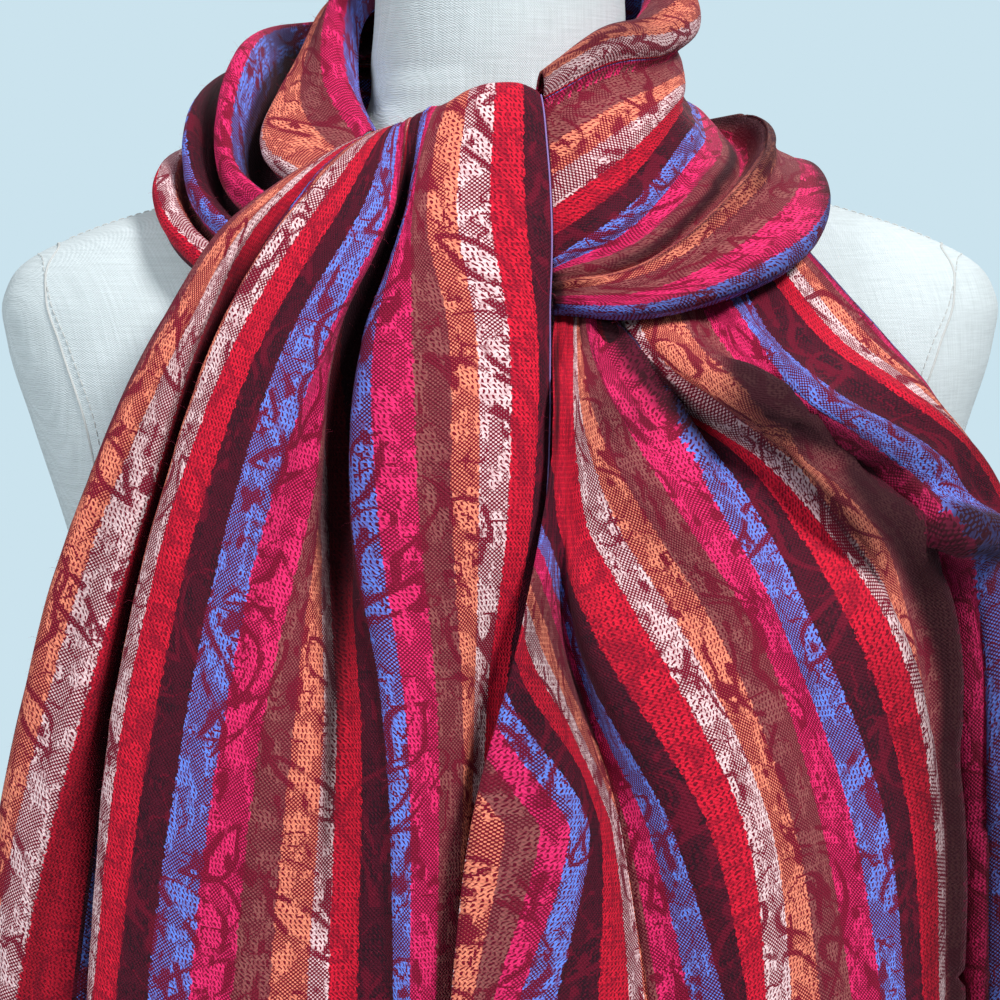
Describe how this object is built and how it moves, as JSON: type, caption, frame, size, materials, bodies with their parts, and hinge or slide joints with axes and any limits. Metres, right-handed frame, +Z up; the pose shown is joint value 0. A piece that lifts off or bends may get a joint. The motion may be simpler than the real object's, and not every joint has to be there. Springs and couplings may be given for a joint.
{
  "type": "pashmina scarf on a dress form",
  "caption": "Striped pashmina scarf looped round the neck of a limbless linen dress form, one end pulled through the loop and fanned over the chest.",
  "frame": {"origin": "centre of the round base's underside", "axes": "+Z up through the neck; +Y towards the wearer's back, so the front with both tails faces -Y; +X towards the viewer's right as seen from the front"},
  "size_m": [0.4051, 0.3, 0.872],
  "materials": {
    "pashmina": "woven stripes, soft and matte",
    "linen": "plain woven, matte",
    "stained_wood": "satin varnish"
  },
  "bodies": {
    "root": {"scarf_front_fan": "pashmina", "scarf_side_tail": "pashmina", "scarf_collar_left": "pashmina", "scarf_collar_back": "pashmina", "scarf_collar_right": "pashmina", "form_torso": "linen", "form_pole": "stained_wood", "form_base": "stained_wood"}
  },
  "joints": []
}
